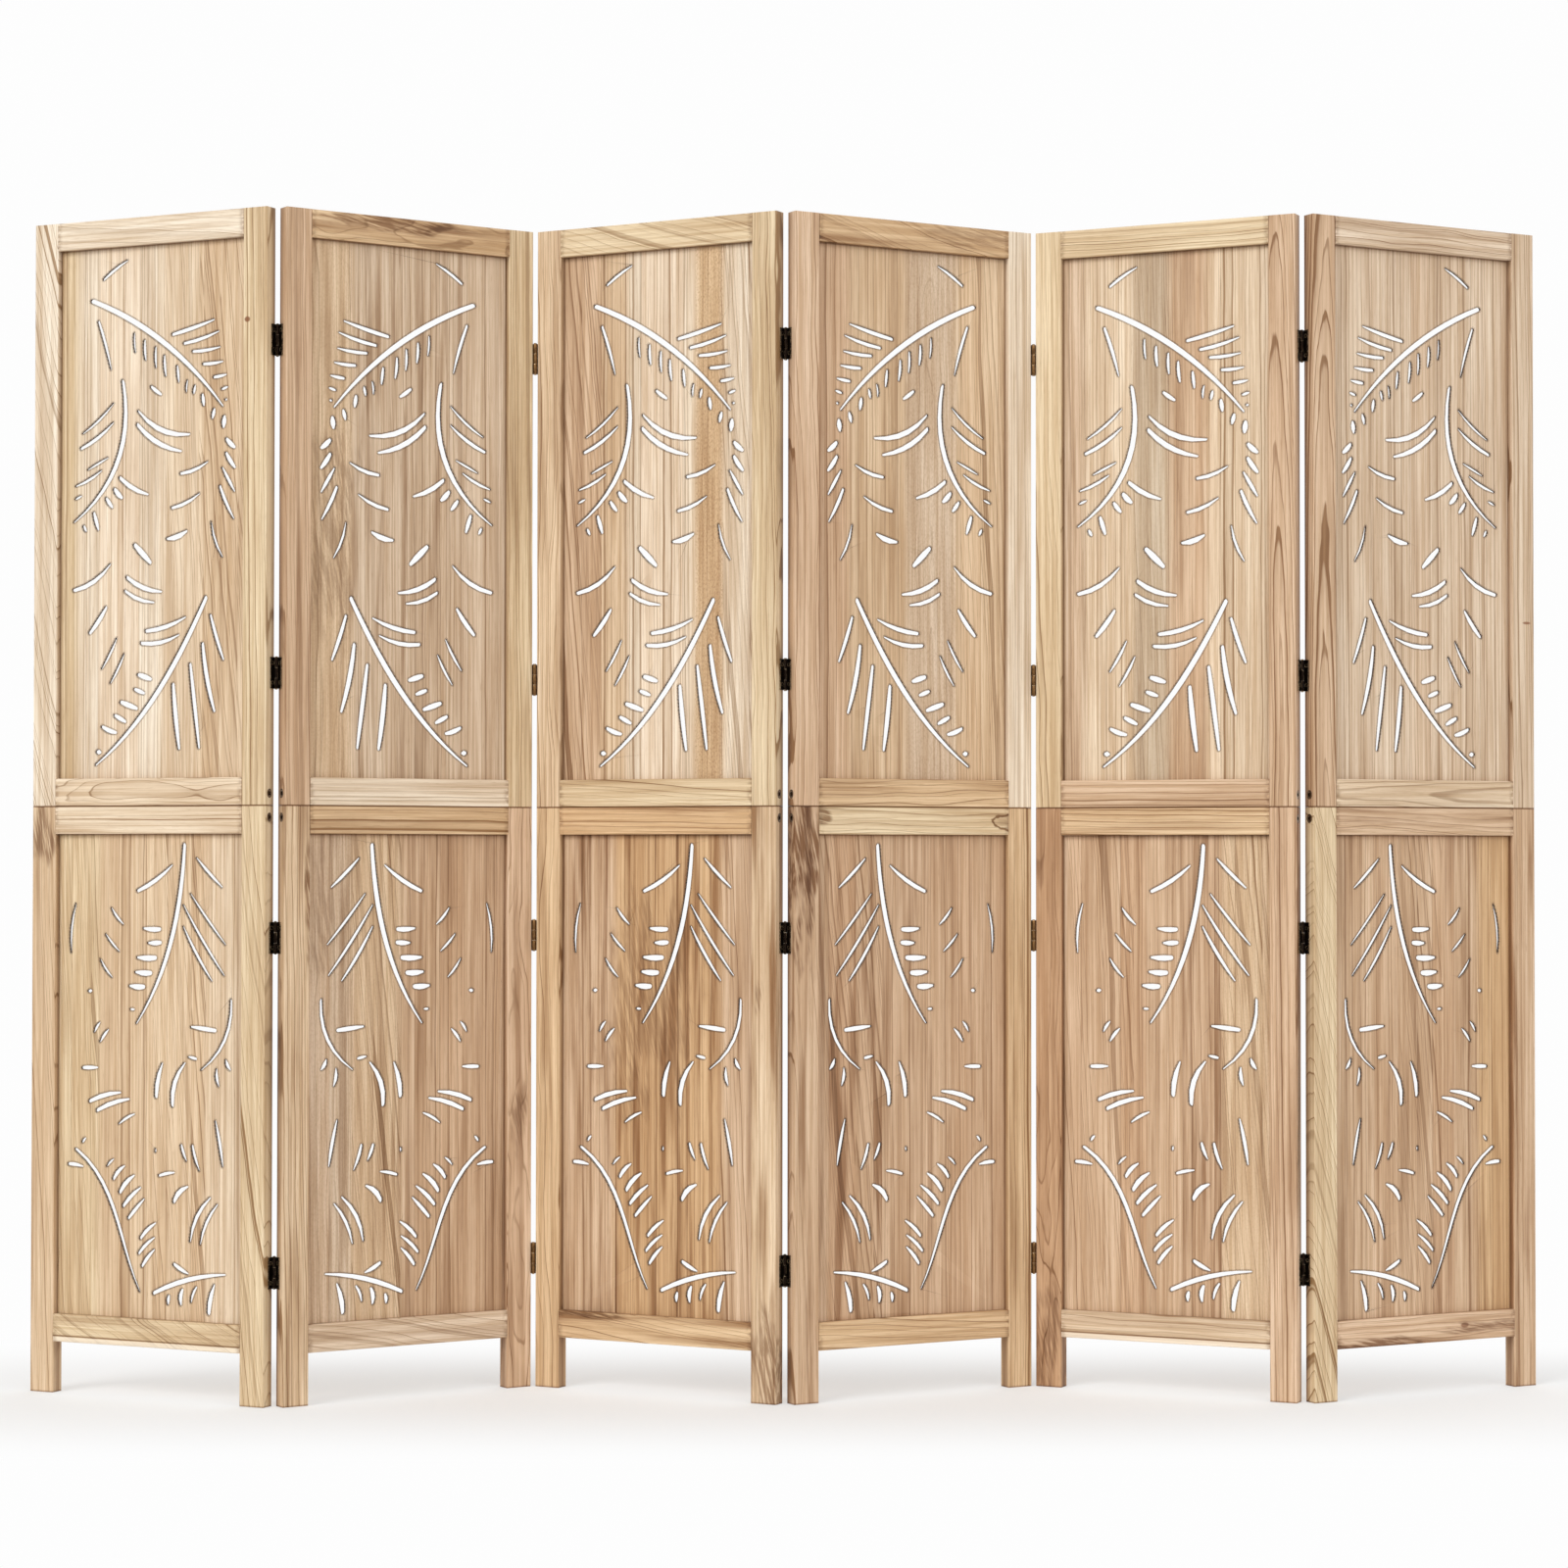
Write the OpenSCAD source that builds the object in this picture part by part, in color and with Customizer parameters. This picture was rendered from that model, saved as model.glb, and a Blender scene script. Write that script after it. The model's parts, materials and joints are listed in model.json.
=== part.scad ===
// Folding screen of six framed panels. Each panel is two wooden frames, one standing on the other,
// and each frame holds a thin board pierced with a spray of leaves. Butt hinges join the panels.

/* [Screen] */
// Height of the screen
screen_h = 1700; // [1500:10:1900]
// Width of one panel
panel_w = 400; // [360:5:480]
// Thickness of the stiles and rails
frame_t = 22; // [20:1:30]
// Height at which the upper frame meets the lower one
seam_z = 850; // [750:5:950]

/* [Folding] */
// Turn of the first panel from the screen's long direction
first_turn = -25; // [-40:1:-10]
// Fold between panels 1 and 2 as the screen stands
fold_1 = 58; // [20:1:90]
// Fold between panels 2 and 3
fold_2 = 61; // [20:1:90]
// Fold between panels 3 and 4
fold_3 = 57; // [20:1:90]
// Fold between panels 4 and 5
fold_4 = 55; // [20:1:90]
// Fold between panels 5 and 6
fold_5 = 54; // [20:1:90]

/* [Frames] */
// Width of each stile
stile_w = 40; // [34:1:50]
// Height of each rail
rail_h = 40; // [34:1:55]
// Open height between the floor and the foot rail
foot_gap = 74; // [40:1:120]
// Size of the eased long edges
ease = 1; // [0.5:0.1:2]

/* [Boards] */
// Thickness of a pierced board
board_t = 3; // [2.5:0.5:6]
// Depth of the board behind the front of the frame
board_recess = 10; // [6:0.5:11]
// Depth of the groove that holds the board and the tenons
groove_d = 8; // [5:0.5:12]
// Clearance beside each face of a board or tenon in its groove
board_fit = 0.1; // [0.05:0.05:0.3]
// Room left for the board to swell, beyond each side and the top
board_room = 2; // [1:0.5:4]

/* [Joinery] */
// Gap between the lower and the upper frame
seam_gap = 0.2; // [0.1:0.1:0.3]
// Height of the solid shoulder outside each tenon
shoulder = 8; // [5:1:12]
// Room left at the end of each tenon
tenon_room = 0.5; // [0.2:0.1:2]
// Shank diameter of the frame bolts
bolt_d = 6; // [5:0.5:8]
// Head diameter of the frame bolts
bolt_head_d = 13; // [11:0.5:15]
// Head thickness of the frame bolts
bolt_head_t = 3; // [2:0.5:5]
// Depth of the bolt heads below the edge of the stile
bolt_sink = 0.5; // [0.2:0.1:2]
// Length of each bolt inside the rail
bolt_reach = 45; // [25:1:60]
// Distance of the bolts above and below the seam
bolt_offset = 17; // [14:1:20]
// Diameter of the dowels across the seam
dowel_d = 8; // [6:0.5:10]
// Length of the dowels
dowel_l = 30; // [20:1:40]
// Distance between the two dowels of a panel
dowel_spread = 120; // [80:5:130]
// Clearance round bolts, dowels and screws
fastener_fit = 0.1; // [0.05:0.05:0.2]

/* [Hinges] */
// Height of a hinge
hinge_h = 45; // [35:1:60]
// Width of the plate on the edge of the stile
leaf_w = 11; // [9:0.5:14]
// Thickness of the hinge plate
leaf_t = 1.5; // [1:0.1:1.8]
// Gap between the two plates when the panels lie in line
leaf_gap = 1.5; // [0.8:0.1:1.6]
// Diameter of the hinge pin
pin_d = 2.4; // [2:0.1:4]
// Clearance all round the pin in its knuckles
pin_fit = 0.05; // [0.03:0.01:0.1]
// Length of the pin's cap beyond each end of the hinge
pin_cap = 1; // [0.6:0.1:2]
// Gap between neighbouring knuckles
knuckle_gap = 0.2; // [0.1:0.05:0.4]
// Clearance between the barrel and the wood or plate beside it
barrel_clear = 0.4; // [0.3:0.05:0.8]
// Distance of each hinge from the end of its frame
hinge_inset = 188; // [120:1:240]
// Distance between the two screws of a plate
screw_pitch = 28; // [20:1:34]
// Shank diameter of the screws
screw_d = 2.8; // [2.2:0.1:3.4]
// Head diameter of the screws
screw_head_d = 5.4; // [4.5:0.1:6.5]
// Length of the screws
screw_l = 16; // [12:1:20]

/* [Hidden] */
$fn = 32;
panels = 6;
knuckles = 3;
KINDS = ["upper_board", "lower_board", "upper_stiles", "legs", "rails", "frame_bolts",
         "joining_dowels", "hinge_leaves", "hinge_screws"];

// Finishes: pale and greyer wood by turns, board, dowel, bolt, old bronze
frame_tones = ["#dcbf98", "#d2b692"];
board_tones = ["#d9b98e", "#ccae88"];
dowel_tone = "#c9a26c";
bolt_tone = "#6b665f";
bronze = "#5a4632";

// Openings that show the boards
open_w = panel_w - 2 * stile_w;
upper_open = [seam_z + rail_h, screen_h - rail_h];
lower_top = seam_z - seam_gap;
lower_open = [foot_gap + rail_h, lower_top - rail_h];
board_y = board_recess + board_t / 2;

// Hinge barrel, its gap and how far its pin stands off the face of the panel
barrel_d = pin_d + 2 * pin_fit + 2 * leaf_t;
edge_gap = 2 * leaf_t + leaf_gap;
pin_out = sqrt(pow(barrel_d / 2 + barrel_clear, 2) - pow(edge_gap / 2, 2));
knuckle_h = (hinge_h - (knuckles - 1) * knuckle_gap) / knuckles;
plate_start = barrel_d / 2 + barrel_clear;
plate_end = pin_out + leaf_w;
screw_y = (plate_start + plate_end) / 2;
screw_sink = 0.1;
hinge_zs = [hinge_inset, seam_z - hinge_inset, seam_z + hinge_inset, screen_h - hinge_inset];

// Plan of the folded screen: where each panel stands and which way it runs
folds = [fold_1, fold_2, fold_3, fold_4, fold_5];
function sign_of(j) = j % 2 == 1 ? 1 : -1;
function turn(n) = n == 1 ? first_turn : turn(n - 1) + sign_of(n - 1) * folds[n - 2];
function turned(p, a) = [p.x * cos(a) - p.y * sin(a), p.x * sin(a) + p.y * cos(a)];
// Pins stand behind the odd joints and in front of the even ones
function pin_depth(j) = j % 2 == 1 ? frame_t + pin_out : -pin_out;
function corner(n) = n == 1 ? [0, 0] :
    corner(n - 1) + turned([panel_w + edge_gap / 2, pin_depth(n - 1)], turn(n - 1))
    - turned([-edge_gap / 2, pin_depth(n - 1)], turn(n));
plan_points = [for (n = [1:panels]) for (p = eased(panel_w, frame_t)) corner(n) + turned(p, turn(n))];
centre = [for (i = [0:1]) (min([for (p = plan_points) p[i]]) + max([for (p = plan_points) p[i]])) / 2];

// Corners of a rectangle whose four corners are eased
function eased(w, t) = [[ease, 0], [w - ease, 0], [w, ease], [w, t - ease],
                        [w - ease, t], [ease, t], [0, t - ease], [0, ease]];

// Leaf sprays. A cut is [x, z of one tip, x, z of the other, bow to its left, width, lean of the bow],
// in millimetres from the lower left corner of an opening of the drawn size.
drawn_w = 320;
upper_drawn_h = 770;
lower_drawn_h = 696;
// Width at the first and the last tip, as shares of the width in the middle
rib_ends = [0.8, 0.35];
blade_ends = [0.8, 0.4];
sliver_ends = [0.45, 0.45];
oval_ends = [0.7, 0.6];

upper_ribs = [
    [51, 696, 280, 530, 19, 8],
    [107, 578, 22, 373, 37.5, 8.5],
    [253, 260, 62, 19, 19, 8.5, 0.2]
];
upper_blades = [
    [72, 724, 116, 751, 1.5, 5], [64, 666, 87, 592, 1.5, 5.5], [191, 638, 265, 656, -1, 6],
    [211, 624, 273, 639, -2, 5.5], [226, 612, 275, 616, -1.5, 5], [244, 593, 280, 595, -1, 5],
    [262, 573, 286, 576, -0.5, 5], [33, 480, 92, 517, -3.5, 6], [131, 513, 210, 469, -8, 7.5],
    [206, 437, 255, 453, -3.5, 5.5], [191, 388, 241, 408, -3.5, 5.5], [101, 437, 153, 409, -4, 7],
    [21, 274, 88, 312, -7.5, 7], [114, 292, 177, 268, -5.5, 7], [111, 272, 164, 253, -4.5, 5.5],
    [147, 212, 218, 231, -4, 6.5], [139, 195, 207, 206, -5.5, 6], [274, 418, 299, 368, -1.5, 6]
];
upper_slivers = [
    [37, 502, 92, 545, -3, 4.5], [46, 449, 83, 466, 0, 4], [25, 426, 72, 448, -2.5, 5],
    [24, 407, 37, 412, 0, 4], [133, 532, 224, 493, -12, 7.5], [278, 444, 300, 407, 0, 6],
    [260, 367, 280, 314, -3.5, 4.5], [183, 344, 220, 355, -3, 8.5], [72, 158, 99, 204, -1.5, 5],
    [87, 137, 112, 181, -1.5, 5]
];
upper_ovals = [
    [127, 645, 129, 615, -1, 4], [145, 634, 147, 603, -1, 5.5], [164, 623, 165, 591, -1, 5],
    [179, 610, 182, 578, -1, 5.5], [201, 594, 204, 568, 0, 5.5], [219, 572, 217, 553, -1, 4],
    [232, 564, 229, 550, 0, 5.5], [244, 551, 247, 532, 0, 7], [265, 529, 261, 513, 0, 7],
    [282, 518, 280, 499, 0, 9], [276, 555, 288, 558, 0, 4.5], [282, 540, 287, 540, 0, 4],
    [155, 566, 175, 552, -0.5, 6], [92, 421, 108, 405, -1, 8.5], [78, 408, 91, 392, -0.5, 7],
    [57, 388, 66, 360, 0, 7.5], [39, 369, 45, 359, 0, 5.5], [284, 485, 301, 470, -1, 8],
    [284, 465, 301, 441, -1, 7.5], [127, 339, 158, 309, 0, 9.5], [50, 210, 81, 250, -1.5, 8],
    [259, 234, 282, 167, -1, 6.5], [246, 194, 267, 93, -3, 8], [225, 165, 241, 41, 0, 7.5],
    [196, 137, 207, 40, -1, 8.5], [134, 150, 160, 142, 0, 8], [128, 129, 148, 122, 0, 6.5],
    [104, 111, 136, 100, 0, 8], [94, 92, 116, 81, 0, 7], [72, 76, 100, 66, -1.5, 7],
    [63, 39, 73, 38, 0, 7.5]
];
lower_ribs = [
    [217, 683, 135, 422, 20.5, 8, 0.15],
    [297, 461, 246, 358, 16.5, 5.5],
    [30, 240, 144, 37, 16, 6.5, -1],
    [165, 36, 290, 69, 6.5, 6.5]
];
lower_blades = [
    [135, 613, 197, 652, -3.5, 6.5], [178, 559, 146, 560, 1, 7], [179, 540, 154, 539, 0.5, 7],
    [171, 518, 135, 518, 1, 8], [163, 496, 132, 497, 1, 8], [151, 476, 122, 477, 1, 8],
    [273, 415, 228, 420, 0, 6.5], [240, 374, 224, 377, 0, 4.5], [41, 357, 70, 358, 0, 5.5],
    [170, 316, 181, 368, 3, 8], [198, 304, 220, 369, 8, 8], [53, 308, 110, 323, 3, 6.5],
    [66, 295, 125, 314, 3, 6.5], [17, 217, 45, 214, 1, 5.5], [96, 196, 117, 218, 2.5, 6.5],
    [107, 177, 134, 205, 3, 7.5], [113, 158, 145, 188, 2, 6.5], [122, 141, 151, 172, 0.5, 6],
    [143, 113, 171, 138, 2, 6], [140, 91, 169, 117, 2, 5.5], [146, 73, 169, 100, 1.5, 6],
    [174, 205, 203, 211, 1, 4.5], [200, 167, 226, 192, 4.5, 8], [213, 252, 223, 227, -1, 5.5],
    [232, 252, 245, 214, -1.5, 5.5], [200, 81, 227, 67, -1, 6.5], [261, 10, 271, 55, 2.5, 8]
];
lower_slivers = [
    [237, 662, 282, 619, -1, 5.5], [227, 611, 288, 537, -1, 4.5], [215, 595, 286, 493, -2, 5],
    [215, 564, 265, 485, -2, 5.5], [30, 596, 22, 523, -4, 4.5], [91, 590, 113, 565, -1.5, 5],
    [81, 552, 106, 526, -1, 4.5], [72, 516, 94, 488, -1.5, 4.5], [62, 408, 73, 424, 1, 5],
    [72, 394, 88, 414, 1, 5.5], [288, 375, 297, 359, -1.5, 6.5], [273, 362, 277, 335, -2, 6],
    [105, 277, 134, 293, 1.5, 4.5], [271, 288, 284, 221, 1, 6], [264, 178, 229, 112, -7.5, 6.5],
    [276, 169, 246, 109, -5, 5.5], [85, 215, 98, 227, 1, 4]
];
lower_ovals = [
    [124, 443, 133, 443, 0, 3.5], [51, 468, 59, 469, 0, 5.5], [42, 248, 49, 256, 0.5, 4.5],
    [169, 238, 170, 245, 0, 3.5], [194, 36, 192, 21, -1, 6.5], [217, 46, 214, 21, -2.5, 7.5],
    [241, 50, 231, 26, -2, 5]
];
upper_spray = [[rib_ends, upper_ribs], [blade_ends, upper_blades],
               [sliver_ends, upper_slivers], [oval_ends, upper_ovals]];
lower_spray = [[rib_ends, lower_ribs], [blade_ends, lower_blades],
               [sliver_ends, lower_slivers], [oval_ends, lower_ovals]];
// Longest straight step along a cut, and the radius up to which a tip has the coarser rounding
cut_step = 22;
fine_tip = 3.7;

// Stations along a cut, each [distance from the first tip, half width]: round tip, body, round tip
function tip_angles(r) = r > fine_tip ? [0, 30, 60] : [0, 45];
function stations(len, w, ends) = let (
    r0 = w * ends[0] / 2,
    r1 = w * ends[1] / 2,
    steps = max(3, ceil(len / cut_step)),
    first = [for (a = tip_angles(r0)) [r0 * (1 - cos(a)), r0 * sin(a)]],
    body = [for (i = [0:steps]) let (t = i / steps)
        [r0 + (len - r0 - r1) * t, r0 * (1 - t) * (1 - 2 * t) + w * 2 * t * (1 - t) + r1 * t * (2 * t - 1)]],
    last = [for (a = tip_angles(r1)) [len - r1 * (1 - cos(a)), r1 * sin(a)]]
) concat(first, body, [for (i = [len(last) - 1:-1:0]) last[i]]);

// Outline of one cut: up its left side and back down its right side
function cut_outline(cut, ends, grow) = let (
    tip = [cut[0] * grow.x, cut[1] * grow.y],
    way = [cut[2] * grow.x, cut[3] * grow.y] - tip,
    along = way / norm(way),
    left = [-along.y, along.x],
    lean = is_undef(cut[6]) ? 0 : cut[6],
    marks = stations(norm(way), cut[5], ends),
    last = len(marks) - 1
) [for (side = [1, -1]) for (i = side > 0 ? [0:last] : [last - 1:-1:1]) let (
        t = marks[i][0] / norm(way),
        bow = 4 * cut[4] * t * (1 - t) * (1 + lean * (2 * t - 1))
    ) tip + way * t + left * (bow + side * marks[i][1])];

// Puts a piece drawn for a panel, with its lower left front corner at the origin, in its place
module on_panel(n)
    translate([corner(n).x - centre.x, corner(n).y - centre.y, 0]) rotate([0, 0, turn(n)]) children();

// Even panels hold the boards turned left for right
module handed(n) {
    if (n % 2 == 1) children();
    else translate([panel_w, 0, 0]) mirror([1, 0, 0]) children();
}

module pierced_board(opening, spray, drawn_h) {
    opening_h = opening[1] - opening[0];
    side = groove_d - board_room;
    grow = [open_w / drawn_w, opening_h / drawn_h];
    translate([stile_w, board_recess + board_t, opening[0]]) rotate([90, 0, 0])
        linear_extrude(board_t) difference() {
            translate([-side, -groove_d]) square([open_w + 2 * side, opening_h + groove_d + side]);
            for (group = spray) for (cut = group[1]) polygon(cut_outline(cut, group[0], grow));
        }
}

// Groove for a board edge or tenon, from z = low to high, cut into the face at x = 0 towards -x
module stile_groove(low, high)
    translate([-groove_d, board_recess - board_fit, low])
        cube([groove_d + 1, board_t + 2 * board_fit, high - low]);

module stile(low, high, groove) difference() {
    translate([0, 0, low]) linear_extrude(high - low) polygon(eased(stile_w, frame_t));
    translate([stile_w, 0, 0]) stile_groove(groove[0], groove[1]);
}

// Both stiles of one frame, bored for the bolts and hinge screws
module stile_pair(n, low, high, groove) difference() {
    for (side = [0, 1]) translate([side * panel_w, 0, 0]) mirror([side, 0, 0]) stile(low, high, groove);
    bolts(fastener_fit);
    screws(n, fastener_fit);
}

// A rail between z = low and high, grooved on its upper side (up = 1) or lower side (up = -1)
module rail(low, up, tenoned) {
    slot_z = up > 0 ? low + rail_h - groove_d : low - 1;
    tenon_z = up > 0 ? low + shoulder : low + groove_d;
    translate([stile_w, 0, 0]) difference() {
        translate([0, 0, low]) rotate([90, 0, 90]) linear_extrude(open_w) polygon(eased(frame_t, rail_h));
        translate([-1, board_recess - board_fit, slot_z])
            cube([open_w + 2, board_t + 2 * board_fit, groove_d + 1]);
    }
    if (tenoned) for (x = [stile_w - groove_d + tenon_room, panel_w - stile_w])
        translate([x, board_recess, tenon_z])
            cube([groove_d - tenon_room, board_t, rail_h - shoulder - groove_d]);
}

module frame_bolt(grow) {
    head = bolt_head_d / 2 + grow;
    shank = bolt_d / 2 + grow;
    length = stile_w - bolt_sink + bolt_reach;
    mouth = grow > 0 ? bolt_sink + 1 : 0;
    rotate([0, -90, 0]) translate([0, 0, -bolt_sink]) difference() {
        rotate_extrude() polygon([[0, mouth], [head, mouth], [head, -bolt_head_t - grow],
            [shank, -bolt_head_t - grow], [shank, -length - grow], [0, -length - grow]]);
        if (grow == 0) translate([0, 0, -bolt_head_t * 0.6]) cylinder(d = bolt_d, h = bolt_head_t, $fn = 6);
    }
}

// The four bolts of a panel, or with grow the bores they need
module bolts(grow = 0)
    for (side = [0, 1]) for (up = [-1, 1]) translate([side * panel_w, board_y, seam_z + up * bolt_offset])
        mirror([side, 0, 0]) frame_bolt(grow);

module dowels(grow = 0)
    for (side = [-1, 1]) translate([panel_w / 2 + side * dowel_spread / 2, frame_t / 2, seam_z])
        cylinder(d = dowel_d + 2 * grow, h = dowel_l + 2 * grow, center = true);

// Puts a piece drawn round a pin, with its plate towards -x and -y, at one edge of panel n
module at_edge(n, side) {
    j = side > 0 ? n : n - 1;
    translate([side > 0 ? panel_w + edge_gap / 2 : -edge_gap / 2, pin_depth(j), 0])
        mirror([side > 0 ? 0 : 1, 0, 0]) mirror([0, j % 2 == 1 ? 0 : 1, 0]) children();
}

// Each edge of panel n that has hinges, at each hinge height
module at_hinges(n) {
    if (n < panels) at_edge(n, 1) for (z = hinge_zs) translate([0, 0, z]) children(0);
    if (n > 1) at_edge(n, -1) for (z = hinge_zs) translate([0, 0, z]) children($children - 1);
}

module hinge_screw(grow) {
    head = screw_head_d / 2 + grow;
    shank = screw_d / 2 + grow;
    mouth = grow > 0 ? screw_sink + 1 : 0;
    point = screw_d + grow;
    end = screw_l + grow;
    rotate([0, 90, 0]) translate([0, 0, -screw_sink]) rotate_extrude()
        polygon([[0, mouth], [head, mouth], [head, 0], [shank, -leaf_t], [shank, point - end], [0, -end]]);
}

module screws(n, grow = 0)
    at_hinges(n) for (up = [-1, 1])
        translate([leaf_t - edge_gap / 2, -screw_y, up * screw_pitch / 2]) hinge_screw(grow);

// One leaf of a hinge, with the knuckles whose numbers are given, counted from the bottom
module hinge_leaf(own) difference() {
    union() {
        translate([-edge_gap / 2, -plate_end, -hinge_h / 2]) cube([leaf_t, plate_end - plate_start, hinge_h]);
        for (k = own) translate([0, 0, k * (knuckle_h + knuckle_gap) - hinge_h / 2]) {
            cylinder(d = barrel_d, h = knuckle_h);
            translate([-edge_gap / 2, -plate_start - leaf_t, 0])
                cube([leaf_t, plate_start + leaf_t, knuckle_h]);
        }
    }
    cylinder(d = pin_d + 2 * pin_fit, h = hinge_h + 2, center = true);
    for (up = [-1, 1]) translate([leaf_t - edge_gap / 2, -screw_y, up * screw_pitch / 2])
        hinge_screw(fastener_fit);
}

module hinge_pin() {
    cylinder(d = pin_d, h = hinge_h + 2 * pin_fit, center = true);
    for (up = [-1, 1]) translate([0, 0, up * (hinge_h + pin_cap + 2 * pin_fit) / 2])
        cylinder(d = (pin_d + barrel_d) / 2, h = pin_cap, center = true);
}

// The pieces of panel n
module upper_board(n) color(board_tones[n % 2])
    on_panel(n) handed(n) pierced_board(upper_open, upper_spray, upper_drawn_h);

module lower_board(n) color(board_tones[n % 2])
    on_panel(n) handed(n) pierced_board(lower_open, lower_spray, lower_drawn_h);

module upper_stiles(n) color(frame_tones[n % 2])
    on_panel(n) stile_pair(n, seam_z, screen_h, [upper_open[0] - groove_d, screen_h - shoulder]);

module legs(n) color(frame_tones[n % 2])
    on_panel(n) stile_pair(n, 0, lower_top, [foot_gap + shoulder, lower_open[1] + groove_d]);

module rails(n) color(frame_tones[n % 2]) on_panel(n) difference() {
    union() {
        rail(foot_gap, 1, true);
        rail(lower_top - rail_h, -1, false);
        rail(seam_z, 1, false);
        rail(screen_h - rail_h, -1, true);
    }
    bolts(fastener_fit);
    dowels(fastener_fit);
}

module frame_bolts(n) color(bolt_tone) on_panel(n) bolts();

module joining_dowels(n) color(dowel_tone) on_panel(n) dowels();

// The leaf on the right edge holds the outer knuckles, the one on the left edge the middle one
module hinge_leaves(n) color(bronze) on_panel(n) at_hinges(n) {
    hinge_leaf([0:2:knuckles - 1]);
    hinge_leaf([1:2:knuckles - 1]);
}

module hinge_screws(n) color(bronze) on_panel(n) screws(n);

// The four pins of joint j
module hinge_pins(j) color(bronze) on_panel(j) at_edge(j, 1) for (z = hinge_zs)
    translate([0, 0, z]) hinge_pin();

for (n = [1:panels]) {
    upper_board(n);
    lower_board(n);
    upper_stiles(n);
    legs(n);
    rails(n);
    frame_bolts(n);
    joining_dowels(n);
    hinge_leaves(n);
    hinge_screws(n);
}
for (j = [1:panels - 1])
    hinge_pins(j);
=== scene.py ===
import json
import math
import random

import bmesh
import bpy
import numpy as np
from mathutils import Matrix, Vector

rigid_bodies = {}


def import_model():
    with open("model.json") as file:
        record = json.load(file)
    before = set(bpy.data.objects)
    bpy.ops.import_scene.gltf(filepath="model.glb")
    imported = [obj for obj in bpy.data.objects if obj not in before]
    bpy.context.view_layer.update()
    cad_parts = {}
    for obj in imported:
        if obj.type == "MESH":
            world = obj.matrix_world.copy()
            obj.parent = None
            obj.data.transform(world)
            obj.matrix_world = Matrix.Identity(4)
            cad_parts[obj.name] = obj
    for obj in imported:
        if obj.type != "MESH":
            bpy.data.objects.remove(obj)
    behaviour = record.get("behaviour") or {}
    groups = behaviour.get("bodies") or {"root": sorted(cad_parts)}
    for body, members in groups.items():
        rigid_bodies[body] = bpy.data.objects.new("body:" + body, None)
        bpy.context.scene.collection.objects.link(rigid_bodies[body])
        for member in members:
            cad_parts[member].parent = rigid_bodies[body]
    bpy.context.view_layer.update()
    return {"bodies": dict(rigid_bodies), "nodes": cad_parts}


# Woods, old brass and a studio for a six-panel folding screen. Looks are drawn in each panel's
# own frame, in millimetres: u along from its left edge, depth back from its front face, z up.
# Blender's own places, bevels and bumps are in metres.
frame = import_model()
nodes = frame["nodes"]
panelCount = len(frame["bodies"])
perMetre = 1000              # millimetres
print("frame loaded:", len(nodes), "pieces on", panelCount, "panels")


cameraView = {
    "place": (-0.0121, -5.3984, 0.7762),   # metres, in front of the screen
    "pitch": 1.134,                        # degrees up
    "yaw": -0.055,
    "roll": 0.052,
    "lens": 85.545,                        # mm
    "sensor": 36,
}


def placeCamera():
    camera = bpy.data.cameras.new("camera")
    camera.lens = cameraView["lens"]
    camera.sensor_width = cameraView["sensor"]
    holder = bpy.data.objects.new("camera", camera)
    turn = (Matrix.Rotation(math.radians(cameraView["yaw"]), 4, "Z")
            @ Matrix.Rotation(math.radians(90 + cameraView["pitch"]), 4, "X")
            @ Matrix.Rotation(math.radians(cameraView["roll"]), 4, "Z"))
    holder.matrix_world = Matrix.Translation(cameraView["place"]) @ turn
    bpy.context.scene.collection.objects.link(holder)
    bpy.context.scene.camera = holder
    print("camera placed")


# Short ways to wire shader nodes. "put" makes one node and gives back one of its outputs.
# A Mix node's sockets go by number: 0 the share, 2 and 3 floats, 4 and 5 vectors, 6 and 7 colours.
def put(tree, kind, inputs, out=0, **settings):
    made = tree.nodes.new("ShaderNode" + kind)
    for name, value in settings.items():
        setattr(made, name, value)
    for key, value in inputs.items():
        if isinstance(value, bpy.types.NodeSocket):
            tree.links.new(value, made.inputs[key])
        else:
            made.inputs[key].default_value = value
    return made.outputs[out]


def sums(tree, operation, first, second=0.0):
    return put(tree, "Math", {0: first, 1: second}, operation=operation)


def plus(tree, first, second):
    return sums(tree, "ADD", first, second)


def minus(tree, first, second):
    return sums(tree, "SUBTRACT", first, second)


def times(tree, first, second):
    return sums(tree, "MULTIPLY", first, second)


def over(tree, first, second):
    return sums(tree, "DIVIDE", first, second)


def apart(tree, first, second):
    return sums(tree, "ABSOLUTE", minus(tree, first, second))


def nearest(tree, value, levels):
    least = apart(tree, value, levels[0])
    for level in levels[1:]:
        least = sums(tree, "MINIMUM", least, apart(tree, value, level))
    return least


def vectors(tree, operation, first, second=(0, 0, 0), out=0):
    return put(tree, "VectorMath", {0: first, 1: second}, out, operation=operation)


def joinVector(tree, *parts):
    return put(tree, "CombineXYZ", dict(enumerate(parts)))


def splitVector(tree, vector):
    made = tree.nodes.new("ShaderNodeSeparateXYZ")
    tree.links.new(vector, made.inputs[0])
    return made.outputs[0], made.outputs[1], made.outputs[2]


def ramp(tree, value, start, end, low=0.0, high=1.0):
    return put(tree, "MapRange", {0: value, 1: start, 2: end, 3: low, 4: high},
               interpolation_type="SMOOTHSTEP")


def grain(tree, place, stretch, detail, out=0):
    scaled = vectors(tree, "MULTIPLY", place, stretch)
    return put(tree, "TexNoise", {"Vector": scaled, "Scale": 1.0, "Detail": detail}, out)


def mottle(tree, place, look):
    # A noise look is its scale per mm, its detail, and the levels between which it comes up
    stretch, detail, *levels = look
    return ramp(tree, grain(tree, place, stretch, detail), *levels)


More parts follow.
